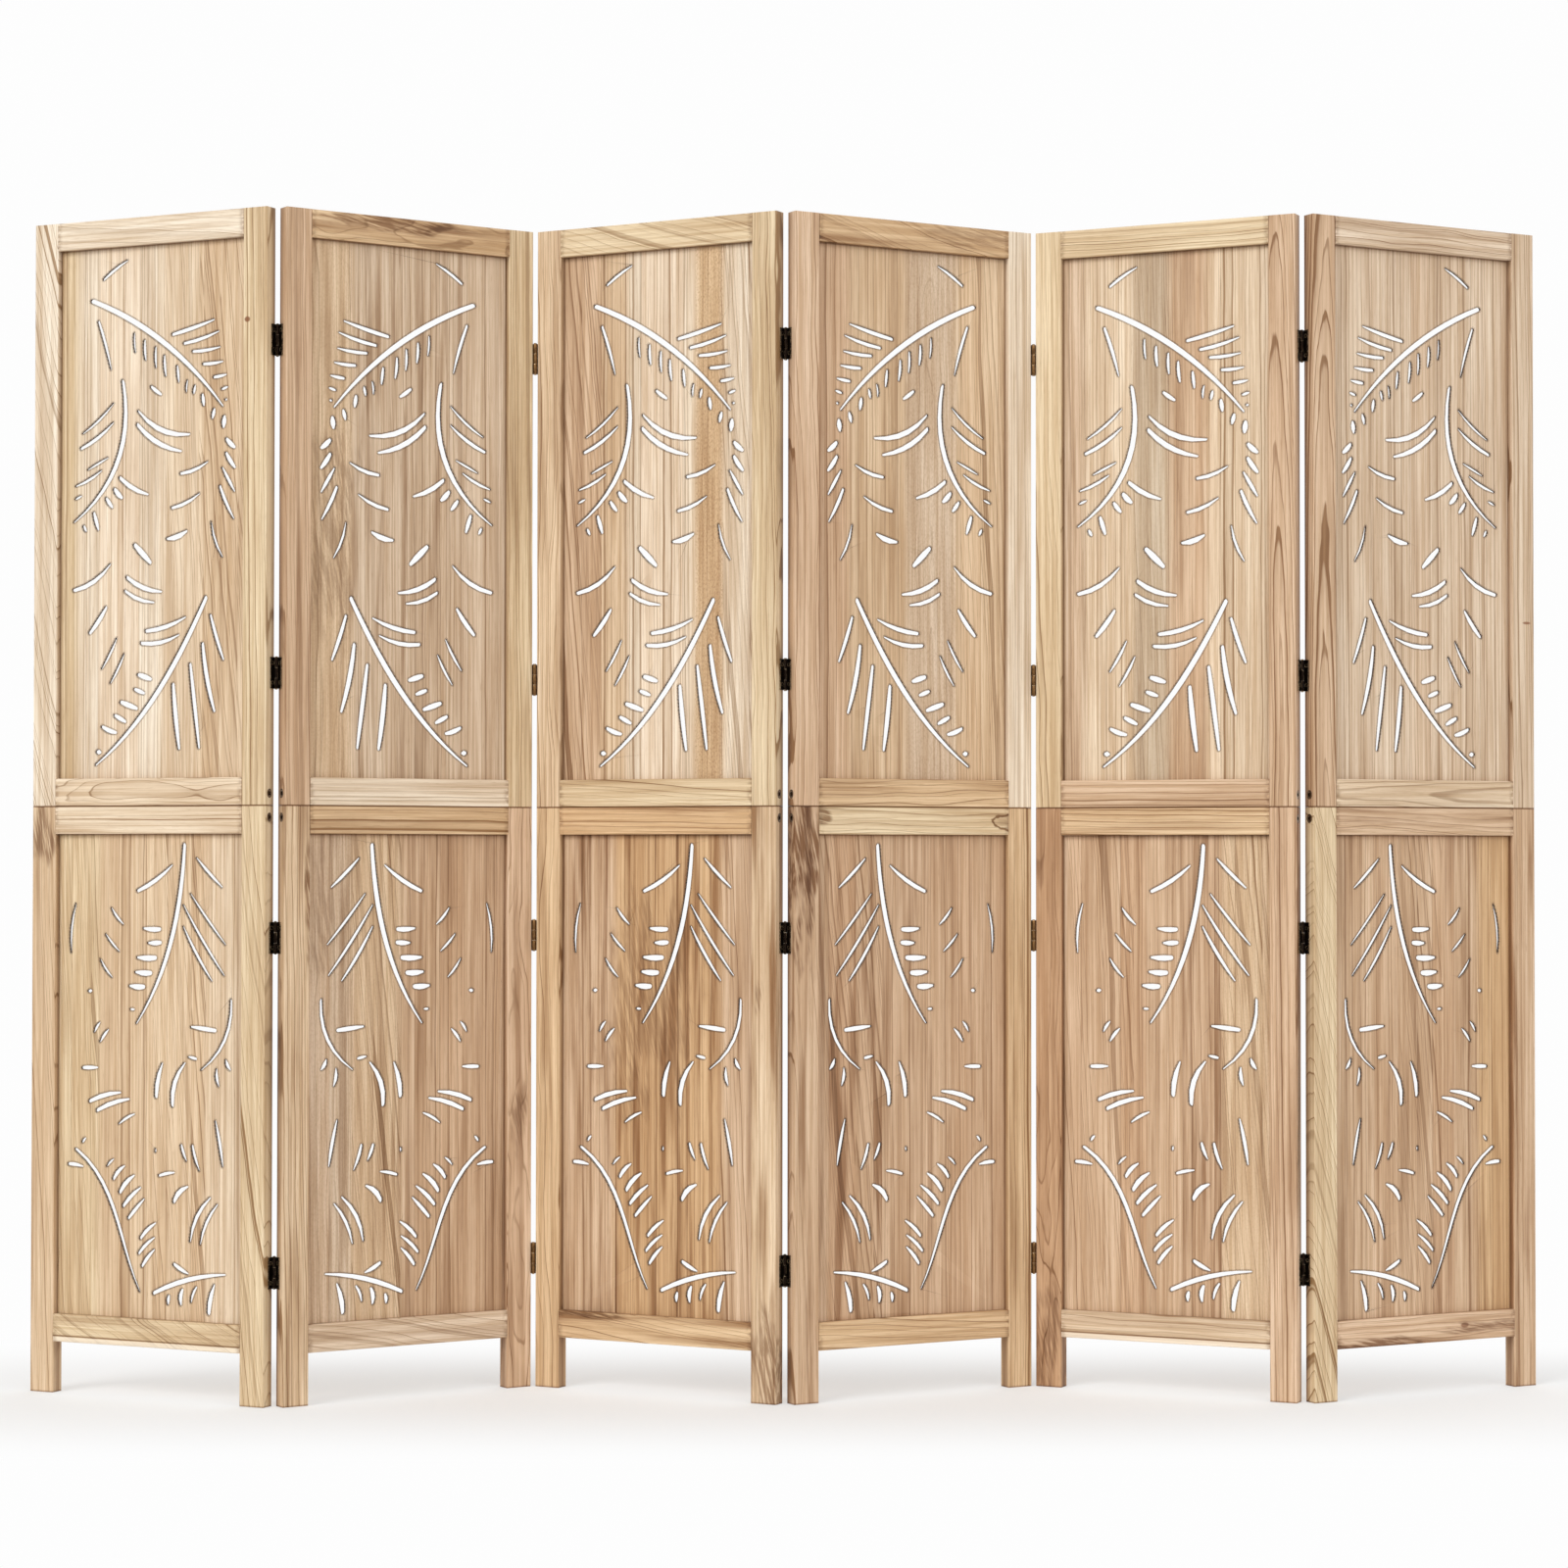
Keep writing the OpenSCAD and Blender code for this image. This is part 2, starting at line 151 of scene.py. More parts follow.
def mixTone(tree, share, first, second, blend="MIX"):
    return put(tree, "Mix", {0: share, 6: first, 7: second}, 2, data_type="RGBA", blend_type=blend)


def mixVector(tree, share, first, second):
    return put(tree, "Mix", {0: share, 4: first, 5: second}, 1, data_type="VECTOR")


def tone(red, green, blue):
    # Screen colours, 0 to 255, as the light values that a shader takes
    shares = [value / 255 for value in (red, green, blue)]
    light = [share / 12.92 if share < 0.0405 else ((share + 0.055) / 1.055) ** 2.4 for share in shares]
    return (*light, 1.0)


def newMaterial(name):
    material = bpy.data.materials.new(name)
    material.use_nodes = True
    material.node_tree.nodes.clear()
    return material, material.node_tree


def finishMaterial(tree, shader):
    tree.links.new(shader, tree.nodes.new("ShaderNodeOutputMaterial").inputs[0])


def dress(thing, material):
    thing.data.materials.clear()
    thing.data.materials.append(material)


# Where each panel stands, from the pieces themselves
def meshPoints(name):
    points = nodes[name].data.vertices
    flat = np.zeros(len(points) * 3)
    points.foreach_get("co", flat)
    return flat.reshape(-1, 3) * perMetre


def panelPlace(number):
    board = meshPoints(f"panel_{number}_upper_board")[:, :2]
    x, y = np.linalg.eigh(np.cov((board - board.mean(0)).T))[1][:, 1]   # the way the board is longest
    x, y = (x, y) if x > 0 else (-x, -y)
    along, back = np.array([x, y, 0]), np.array([-y, x, 0])
    stiles = meshPoints(f"panel_{number}_upper_stiles")
    return {"turn": math.atan2(y, x), "along": along, "back": back,
            "left": (stiles @ along).min(), "front": (stiles @ back).min()}


panelPlaces = {number: panelPlace(number) for number in range(1, panelCount + 1)}


def panelPosition(tree, number):
    place = panelPlaces[number]
    return put(tree, "Mapping", {"Vector": put(tree, "TexCoord", {}, "Object"),
                                 "Location": (-place["left"], -place["front"], 0),
                                 "Rotation": (0, 0, -place["turn"]), "Scale": (perMetre,) * 3})


def facing(tree, direction):
    normal = put(tree, "TexCoord", {}, "Normal")
    return sums(tree, "ABSOLUTE", vectors(tree, "DOT_PRODUCT", normal, tuple(direction), "Value"))


def flatness(tree, radius):
    # 1 on a flat face, and less within the radius of an edge
    rounded = put(tree, "Bevel", {"Radius": radius}, samples=4)
    return vectors(tree, "DOT_PRODUCT", rounded, put(tree, "NewGeometry", {}, "Normal"), "Value")


# Woods: the tone between the growth rings
woodTones = {
    "cream": tone(252, 240, 221),
    "pale": tone(248, 231, 206),
    "straw": tone(240, 221, 187),
    "wheat": tone(240, 217, 186),
    "linen": tone(237, 218, 195),
    "rose": tone(235, 207, 178),
    "honey": tone(234, 206, 168),
    "oat": tone(230, 210, 186),
    "tan": tone(226, 198, 168),
    "toast": tone(226, 192, 150),
    "blush": tone(224, 195, 165),
    "ash": tone(218, 201, 177),
    "umber": tone(207, 170, 134),
}

# How the saw met the log: where the pith lies from the piece's own corner, its slope along
# the piece, the ring width and how far the rings wander, all in millimetres; where in a ring
# its dark line starts, and how bold it is
sawCuts = {
    "straight": dict(pith=(-150, 12), slope=(0.004, 0), ring=9.5, wander=5, line=0.76, bold=1.1),
    "dense": dict(pith=(-90, 14), slope=(0.014, 0), ring=6.5, wander=6, line=0.76, bold=1.15),
    "slant": dict(pith=(-70, 16), slope=(0.08, 0), ring=8.5, wander=12, line=0.80, bold=1.1),
    "cross": dict(pith=(-60, 14), slope=(0.20, 0.02), ring=9.0, wander=20, line=0.80, bold=1.0),
    "steep": dict(pith=(-60, 14), slope=(0.50, 0), ring=14.0, wander=18, line=0.86, bold=1.0),
    "ripple": dict(pith=(-60, 20), slope=(0.02, 0), ring=8.0, wander=24, line=0.80, bold=1.1),
    "wavy": dict(pith=(-40, 16), slope=(0.010, 0), ring=7.0, wander=22, line=0.78, bold=1.45),
    "flame": dict(pith=(22, 17), slope=(0.006, 0.025), ring=4.5, wander=9, line=0.76, bold=1.3),
    "arch": dict(pith=(20, 26), slope=(0, 0.035), ring=5.0, wander=9, line=0.72, bold=1.6),
    "figure": dict(pith=(40, 40), slope=(0, 0.032), ring=6.0, wander=14, line=0.84, bold=0.9),
    "loops": dict(pith=(20, 26), slope=(0, 0.014), ring=6.5, wander=36, line=0.85, bold=1.2),
    "wild": dict(pith=(26, 30), slope=(0.03, 0.02), ring=6.5, wander=30, line=0.84, bold=1.3),
}

# What every log shows. Noise scales are across, through and along the piece.
timberGrowth = {
    "seedStep": (37.7, 17.3, 911.0),               # mm from one piece's wood to the next one's
    "sway": ((0.010, 0.010, 0.0030), 2.5, 2.0),    # slow wander of the rings, in shares of the cut's
    "tremble": ((0.07, 0.07, 0.011), 2.0, 3.0),    # small wobble of each line, in mm
    "years": (0.045, 2.0, 4.0),                    # wide and narrow years: scale, detail, reach in rings
    "rise": (0.15, 0.95, 0.0, 0.24),               # a ring darkens slowly,
    "line": (0.4, 0.58, 0.76),                     # then has its dark line: the line's end, and its share
    "fall": (0.94, 1.0, 1.0, 0.0),                 # and ends at the next spring
    "faintYear": 0.30,                             # the faintest ring beside the boldest
    "yearLuck": 1.3,                               # more than 1 makes bold rings rarer
    "fine": ((0.9, 0.9, 0.010), 3.0, 0.45),        # fine and broad fibre, and the share of each
    "broad": ((0.20, 0.20, 0.0035), 2.0, 0.55),
    "cloud": ((0.020, 0.020, 0.0028), 2.5, 0.36, 0.68),
    "pore": ((1.7, 1.7, 0.045), 2.0, 0.58, 0.74),
    "streak": ((0.070, 0.070, 0.0032), 3.5, 0.47, 0.68),
    "fleck": ((0.70, 0.70, 0.26), 1.5, 0.48, 0.62),
}


def sawnTimberGroup():
    # Pith holds x, y and ring width; Slope holds x, y and wander; Traits holds seed, streaks, flecks
    group = bpy.data.node_groups.new("sawnTimber", "ShaderNodeTree")
    for name, kind in (("Place", "Vector"), ("Pith", "Vector"), ("Slope", "Vector"), ("Traits", "Vector"),
                       ("LineStart", "Float")):
        group.interface.new_socket(name=name, in_out="INPUT", socket_type="NodeSocket" + kind)
    for name in ("Ring", "Fibre", "Cloud", "Pore", "Streak"):
        group.interface.new_socket(name=name, in_out="OUTPUT", socket_type="NodeSocketFloat")
    place, pith, slope, traits, lineStart = list(group.nodes.new("NodeGroupInput").outputs)[:5]
    pithX, pithY, ringWidth = splitVector(group, pith)
    slopeX, slopeY, wander = splitVector(group, slope)
    seed, streaks, flecks = splitVector(group, traits)
    x, y, z = splitVector(group, place)
    shift = joinVector(group, *(times(group, seed, step) for step in timberGrowth["seedStep"]))
    own = vectors(group, "ADD", place, shift)

    # Distance from the pith, bent by two noises; a noise's own middle is 0.5
    swayScale, swayDetail, swayReach = timberGrowth["sway"]
    trembleScale, trembleDetail, trembleReach = timberGrowth["tremble"]
    middle = (0.5, 0.5, 0.5)
    sway, tremble = (splitVector(group, vectors(group, "SUBTRACT", grain(group, own, scale, detail, "Color"),
                                                middle))
                     for scale, detail in ((swayScale, swayDetail), (trembleScale, trembleDetail)))
    away = []
    for at, centre, lean, big, small in ((x, pithX, slopeX, sway[0], tremble[0]),
                                         (y, pithY, slopeY, sway[1], tremble[1])):
        offset = plus(group, minus(group, at, centre), times(group, lean, z))
        offset = plus(group, offset, times(group, big, times(group, wander, swayReach)))
        away.append(plus(group, offset, times(group, small, trembleReach)))
    radius = vectors(group, "LENGTH", joinVector(group, *away), out="Value")

    # Rings: each has its own strength, darkens slowly and ends in a line
    yearScale, yearDetail, yearReach = timberGrowth["years"]
    uneven = put(group, "TexNoise", {"W": times(group, radius, yearScale), "Scale": 1.0,
                                     "Detail": yearDetail}, noise_dimensions="1D")
    phase = plus(group, over(group, radius, ringWidth), times(group, uneven, yearReach))
    year = plus(group, sums(group, "FLOOR", phase), seed)
    luck = sums(group, "POWER", put(group, "TexWhiteNoise", {"W": year}, noise_dimensions="1D"),
                timberGrowth["yearLuck"])
    within = sums(group, "FRACT", phase)
    endShare, endFrom, lineShare = timberGrowth["line"]
    lineEnd = plus(group, times(group, lineStart, endShare), endFrom)
    body = plus(group, ramp(group, within, *timberGrowth["rise"]),
                times(group, ramp(group, within, lineStart, lineEnd), lineShare))
    faint = timberGrowth["faintYear"]
    strength = plus(group, faint, times(group, luck, 1 - faint))
    ring = times(group, times(group, body, ramp(group, within, *timberGrowth["fall"])), strength)

    fine, broad = (times(group, grain(group, own, scale, detail), share)
                   for scale, detail, share in (timberGrowth["fine"], timberGrowth["broad"]))
    cloud = mottle(group, own, timberGrowth["cloud"])
    pore = mottle(group, own, timberGrowth["pore"])
    streak = times(group, streaks, mottle(group, own, timberGrowth["streak"]))
    fleck = times(group, flecks, mottle(group, own, timberGrowth["fleck"]))
    target = group.nodes.new("NodeGroupOutput")
    shown = (ring, plus(group, fine, broad), cloud, sums(group, "MAXIMUM", pore, fleck), streak)
    for index, value in enumerate(shown):
        group.links.new(value, target.inputs[index])
    return group


woodLook = {
    "seeds": (1, 60),                        # each piece draws its own wood from this range,
    "jogs": (-0.5, 0.5),                     # and how far its pith and slope stray from the cut's
    "stripStarts": (5, 90),
    "frameRings": 1.07,                      # how dark the late wood is, on the frame and on the boards
    "boardRings": 0.88,
    "fibreLevels": (0.66, 0.34, 0.0, 1.10),
    "cloudDepth": 0.62,
    "poreDepth": 0.50,
    "pieceBlend": 0.2,                       # mm between two pieces of the frame
    "plankBlend": 22,                        # mm over which one plank's tone passes into the next
    "stripWidth": 34,                        # mm, strips of the glued boards
    "stripDepth": 0.34,                      # how much the strips differ
    "stripUneven": 0.9,                      # 0 makes all strips equally wide
    "stripSeeds": 23.0,                      # how far apart the strips' woods are
    "blushLevels": (0.6, 0.9, 0.0, 0.7),     # which strips are pinker, and by how much
    "jointLevels": (0.0, 0.035, 1.0, 0.0),   # in strip widths from the joint
    "jointDepth": 0.65,
    "roughness": (0.2, 0.8, 0.50, 0.66),     # levels of the fibre, then the roughness there
    "gloss": 0.35,
    "ringRelief": 0.5,                       # how far the late wood sinks beside the fibre
    "bump": (0.5, 0.00012),                  # strength and metres
    "ringStain": (0.42, 0.31, 0.21, 1),      # each stain multiplies the wood's tone
    "fibreStain": (0.74, 0.66, 0.57, 1),
    "cloudStain": (0.76, 0.67, 0.58, 1),
    "poreStain": (0.56, 0.44, 0.33, 1),
    "streakStain": (0.46, 0.33, 0.22, 1),
    "stripStain": (0.80, 0.72, 0.63, 1),
    "blushStain": (1.0, 0.95, 0.91, 1),
    "jointStain": (0.46, 0.34, 0.24, 1),
    # painted shade at the board's edges, the seam, recesses, hinge gaps and feet, and grime at the rails'
    # ends
    "shadeAndGrimeStain": (0.36, 0.25, 0.17, 1),
    # dark patches and knots' outlines, and the painted shade line above a highlight strip
    "patchAndShadeStain": (0.34, 0.23, 0.15, 1),
    "endStain": (0.66, 0.56, 0.47, 1),
}


def multiplyTone(tree, colour, share, name):
    return mixTone(tree, share, colour, woodLook[name], "MULTIPLY")


def chooseAlong(tree, marker, pieces, pick, mix, blend):
    # The pieces lie one after another along the marker's direction
    chosen = pick(pieces[0])
    for piece in pieces[1:]:
        past = ramp(tree, marker, piece["from"] - blend / 2, piece["from"] + blend / 2)
        chosen = mix(tree, past, chosen, pick(piece))
    return chosen


def pithOf(piece):
    cut = sawCuts[piece["cut"]]
    return (piece["start"] + cut["pith"][0] * (1 + piece["jog"] / 2), cut["pith"][1], cut["ring"])


def slopeOf(piece):
    cut = sawCuts[piece["cut"]]
    return (cut["slope"][0] * (1 + piece["jog"]), cut["slope"][1], cut["wander"])


def traitsOf(piece):
    return (piece["seed"], piece["streaks"], piece["flecks"])


def linesOf(piece):
    return (sawCuts[piece["cut"]]["bold"], sawCuts[piece["cut"]]["line"], 0)


def toneOf(piece):
    return woodTones[piece["tone"]]


def gluedStrips(tree, u, start):
    # Each strip has its own darkness and tint, and some have a dark joint
    cell = {"W": plus(tree, over(tree, u, woodLook["stripWidth"]), start), "Scale": 1.0,
            "Randomness": woodLook["stripUneven"]}
    strip = put(tree, "TexVoronoi", cell, "Color", voronoi_dimensions="1D", feature="F1")
    edge = put(tree, "TexVoronoi", cell, voronoi_dimensions="1D", feature="DISTANCE_TO_EDGE")
    darkness, tint, jointed = splitVector(tree, strip)
    return darkness, tint, times(tree, ramp(tree, edge, *woodLook["jointLevels"]), jointed)


def timber(name, number, pieces, timberGroup, lies, glued, marks, limits):
    material, tree = newMaterial(name)
    position = panelPosition(tree, number)
    u, depth, z = splitVector(tree, position)
    # A rail grows across the panel, and all else grows upwards
    place, marker = (joinVector(tree, z, depth, u), z) if lies else (position, u)
    luck = random.Random(name)
    for piece in pieces:
        piece["seed"] = luck.uniform(*woodLook["seeds"])
        piece["jog"] = luck.uniform(*woodLook["jogs"])
    pith, slope, traits, lines = (chooseAlong(tree, marker, pieces, pick, mixVector, woodLook["pieceBlend"])
                                  for pick in (pithOf, slopeOf, traitsOf, linesOf))
    colour = chooseAlong(tree, marker, pieces, toneOf, mixTone,
                         woodLook["plankBlend" if glued else "pieceBlend"])
    bold, lineStart = splitVector(tree, lines)[:2]
    if glued:
        darkness, tint, joint = gluedStrips(tree, u, luck.uniform(*woodLook["stripStarts"]))
        seeds = joinVector(tree, times(tree, darkness, woodLook["stripSeeds"]))
        traits = vectors(tree, "ADD", traits, seeds)

    group = tree.nodes.new("ShaderNodeGroup")
    group.node_tree = timberGroup
    for index, value in enumerate((place, pith, slope, traits, lineStart)):
        tree.links.new(value, group.inputs[index])
    ring, fibre, cloud, pore, streak = group.outputs

    stains = [("cloudStain", times(tree, cloud, woodLook["cloudDepth"]))]
    if glued:
        stains += [("stripStain", times(tree, darkness, woodLook["stripDepth"])),
                   ("blushStain", ramp(tree, tint, *woodLook["blushLevels"])),
                   ("jointStain", times(tree, joint, woodLook["jointDepth"]))]
    ringDepth = times(tree, bold, woodLook["boardRings" if glued else "frameRings"])
    stains += [("fibreStain", ramp(tree, fibre, *woodLook["fibreLevels"])),
               ("ringStain", times(tree, ring, ringDepth)),
               ("poreStain", times(tree, pore, woodLook["poreDepth"])),
               ("streakStain", streak)]
    for kind, share in stains:
        colour = multiplyTone(tree, colour, share, kind)
    for mark in marks:
        colour = addMark(tree, colour, u, z, place, mark)

    height = minus(tree, fibre, times(tree, ring, woodLook["ringRelief"]))
    if glued:
        colour = shadeAndScorchBoard(tree, colour, number, position, limits)
        height = minus(tree, height, joint)
    else:
        colour = shadeAndStainFrame(tree, colour, number, position, lies, limits)
    strength, distance = woodLook["bump"]
    bump = put(tree, "Bump", {"Strength": strength, "Distance": distance, "Height": height})
    finishMaterial(tree, put(tree, "BsdfPrincipled", {
        "Base Color": colour, "Roughness": ramp(tree, fibre, *woodLook["roughness"]), "Normal": bump,
        "Specular IOR Level": woodLook["gloss"]}))
    return material


boardShadeAndScorch = {
    "hidden": 6,                              # mm of a board's edge that the frame's groove hides
    "topShade": (0.0, 9, 0.35, 0.0),          # mm below the board's top, and how dark there
    "frameShade": (0.0, 3.5, 0.8, 0.0),       # mm from where the board meets its frame
    "wallLevels": (0.80, 0.96, 1.0, 0.0),     # a wall of a cut doesn't face front or back
    "rim": 0.0042,                            # metres over which the face round a cut takes up scorch
    "rimLevels": (0.997, 0.972),              # flatness where the scorch starts, and where it is full
    "tooth": (5.0, 15.0),                     # mm from tooth to tooth of the scorch, upwards and across
    "toothLevels": (0.08, 0.30, 0.74, 1.0),
    "char": (tone(34, 20, 11), tone(72, 46, 27)),
    "charPatches": ((0.25, 0.25, 0.25), 1.0, 0.42, 0.60),
}


def shadeAndScorchBoard(tree, colour, number, position, limits):
    # Painted shade where the board meets its frame, most of all at its top under the rail
    left, right, foot, top = limits
    u, z = splitVector(tree, position)[::2]
    below = minus(tree, top, z)
    away = sums(tree, "MINIMUM", minus(tree, u, left), minus(tree, right, u))
    away = sums(tree, "MINIMUM", sums(tree, "MINIMUM", away, minus(tree, z, foot)), below)
    colour = multiplyTone(tree, colour, ramp(tree, below, *boardShadeAndScorch["topShade"]), "shadeAndGrimeStain")
    colour = multiplyTone(tree, colour, ramp(tree, away, *boardShadeAndScorch["frameShade"]), "shadeAndGrimeStain")
    # The saw scorched the walls of the cuts and a toothed rim round them
    wall = ramp(tree, facing(tree, panelPlaces[number]["back"]), *boardShadeAndScorch["wallLevels"])
    rim = ramp(tree, flatness(tree, boardShadeAndScorch["rim"]), *boardShadeAndScorch["rimLevels"])
    teeth = plus(tree, over(tree, z, boardShadeAndScorch["tooth"][0]), over(tree, u, boardShadeAndScorch["tooth"][1]))
    tooth = ramp(tree, sums(tree, "PINGPONG", teeth, 0.5), *boardShadeAndScorch["toothLevels"])
    char = mixTone(tree, mottle(tree, position, boardShadeAndScorch["charPatches"]), *boardShadeAndScorch["char"])
    return mixTone(tree, times(tree, sums(tree, "MAXIMUM", wall, rim), tooth), colour, char)


frameWood = {
    "wide": 40,                                # mm, stiles, legs and rails alike, as the solids have them
    "rightStile": 360,                         # where it starts
    "lead": 0.5,                               # its wood begins this far short of it, for its own edge
    "groove": 8,                               # how far a board goes into a rail
    "onFace": 1.5,                             # mm within which a point counts as on a face
    "square": (0.75, 0.95),                    # levels of how squarely a face looks some way
    "seamShade": (0.4, 2.0, 1.0, 0.0),         # mm from the seam between the two frames
    "recessShade": 0.75,                       # how dark the inner edges get at the board,
    "recessFrom": 1.0,                         # and how far from the board's middle that starts
    "gapShade": 0.85,                          # how dark the edges of the stiles are beside a hinge,
    "gapFrom": 0.3,                            # and from which share of the thickness on
    "footShade": (0.5, 3.0, 0.8, 0.0),         # mm above the floor
    "railEnd": (0.0, 10, 0.6, 0.0),            # mm from a rail's end
    "smudge": ((0.10, 0.10, 0.16), 3.0, 0.36, 0.62),
}


def shadeAndStainFrame(tree, colour, number, position, lies, limits):
    u, depth, z = splitVector(tree, position)
    endFace = ramp(tree, facing(tree, (0, 0, 1)), *frameWood["square"])
    sideFace = ramp(tree, facing(tree, panelPlaces[number]["along"]), *frameWood["square"])
    # The seam between the two frames is a dark line of painted shade
    seam = ramp(tree, apart(tree, z, limits["seam"]), *frameWood["seamShade"])
    colour = multiplyTone(tree, colour, seam, "shadeAndGrimeStain")
    # Painted shade on the inner edges of the frame, deepest at the board
    inner, marker, innerFace = (limits["rails"], z, endFace) if lies else (limits["stiles"], u, sideFace)
    here = times(tree, innerFace, sums(tree, "LESS_THAN", nearest(tree, marker, inner), frameWood["onFace"]))
    deep = ramp(tree, apart(tree, depth, limits["board"]), frameWood["recessFrom"], limits["board"],
                frameWood["recessShade"], 0.0)
    colour = multiplyTone(tree, colour, times(tree, deep, here), "shadeAndGrimeStain")
    if lies:
        ends = ramp(tree, nearest(tree, u, limits["stiles"]), *frameWood["railEnd"])
        smudge = mottle(tree, position, frameWood["smudge"])
        return multiplyTone(tree, colour, times(tree, ends, smudge), "shadeAndGrimeStain")
    # Painted shade, with a little grime, in the gap beside a hinge, and a painted contact shadow with some
    # stain where the foot stands on the floor
    for side, hinged in ((0, number > 1), (1, number < panelCount)):
        if hinged:
            barrelsBehind = (number + side) % 2 == 0
            near, far = (frameWood["gapFrom"], 1.0) if barrelsBehind else (1.0 - frameWood["gapFrom"], 0.0)
            gap = ramp(tree, depth, near * limits["thick"], far * limits["thick"], 0.0, frameWood["gapShade"])
            edge = sums(tree, "LESS_THAN", apart(tree, u, side * limits["across"]), frameWood["onFace"])
            colour = multiplyTone(tree, colour, times(tree, gap, times(tree, sideFace, edge)), "shadeAndGrimeStain")
    colour = multiplyTone(tree, colour, ramp(tree, z, *frameWood["footShade"]), "shadeAndGrimeStain")
    # End grain drinks more finish than the faces
    return multiplyTone(tree, colour, endFace, "endStain")


# How the marks look. Levels count in shares of a mark's size, from its middle.
markLook = {
    "knotTone": tone(128, 76, 42),
    "knot": (0.55, 1.0, 1.0, 0.0),
    "eyeOutline": ((0.08, 0.08, 0.05), 2.0, 0.2, 0.8, -0.3, 0.3),      # how an outline wavers
    "eyeLine": (0.06, 0.22, 1.0, 0.0),
    "eyeInside": (0.2, 1.1, 0.35, 0.0),
    "highlightStripTone": "cream",
    "highlightStripEdge": (0.8, 1.0, 1.0, 0.0),
    "shadeLineAt": 1.1,
    "shadeLine": (0.05, 0.22, 0.9, 0.0),
    "patchOutline": ((0.05, 0.05, 0.012), 3.0, 0.2, 0.8, -0.5, 0.5),
    "patchEdge": (0.45, 1.05, 1.0, 0.0),
    "patchFigure": ((0.26, 0.26, 0.022), 4.0, 0.38, 0.56, 0.15, 1.0),
    "patchSlant": 0.2,
}


def addMark(tree, colour, u, z, place, mark):
    across, up = (over(tree, minus(tree, value, middle), size)
                  for value, middle, size in zip((u, z), mark["at"], mark["size"]))
    away = vectors(tree, "LENGTH", joinVector(tree, across, up), out="Value")
    if mark["kind"] == "knot":
        share = times(tree, ramp(tree, away, *markLook["knot"]), mark["depth"])
        return mixTone(tree, share, colour, markLook["knotTone"])
    if mark["kind"] == "eye":
        # A knot's dark outline round a darker middle
        away = plus(tree, away, mottle(tree, place, markLook["eyeOutline"]))
        outline = ramp(tree, apart(tree, away, 1.0), *markLook["eyeLine"])
        share = sums(tree, "MAXIMUM", outline, ramp(tree, away, *markLook["eyeInside"]))
        return multiplyTone(tree, colour, times(tree, share, mark["depth"]), "patchAndShadeStain")
    if mark["kind"] == "strip":
        # A lighter strip, a painted highlight where a chamfer would catch the light, with a dark line of
        # painted shade above it
        share = times(tree, ramp(tree, up, *markLook["highlightStripEdge"]), mark["depth"])
        colour = mixTone(tree, share, colour, woodTones[markLook["highlightStripTone"]])
        line = ramp(tree, apart(tree, up, markLook["shadeLineAt"]), *markLook["shadeLine"])
        return multiplyTone(tree, colour, line, "patchAndShadeStain")
    # A ragged patch, darkened in slanting lines
    away = plus(tree, away, mottle(tree, place, markLook["patchOutline"]))
    slant = joinVector(tree, times(tree, splitVector(tree, place)[2], markLook["patchSlant"]))
    figure = mottle(tree, vectors(tree, "ADD", place, slant), markLook["patchFigure"])
    share = times(tree, times(tree, ramp(tree, away, *markLook["patchEdge"]), figure), mark["depth"])
    return multiplyTone(tree, colour, share, "patchAndShadeStain")


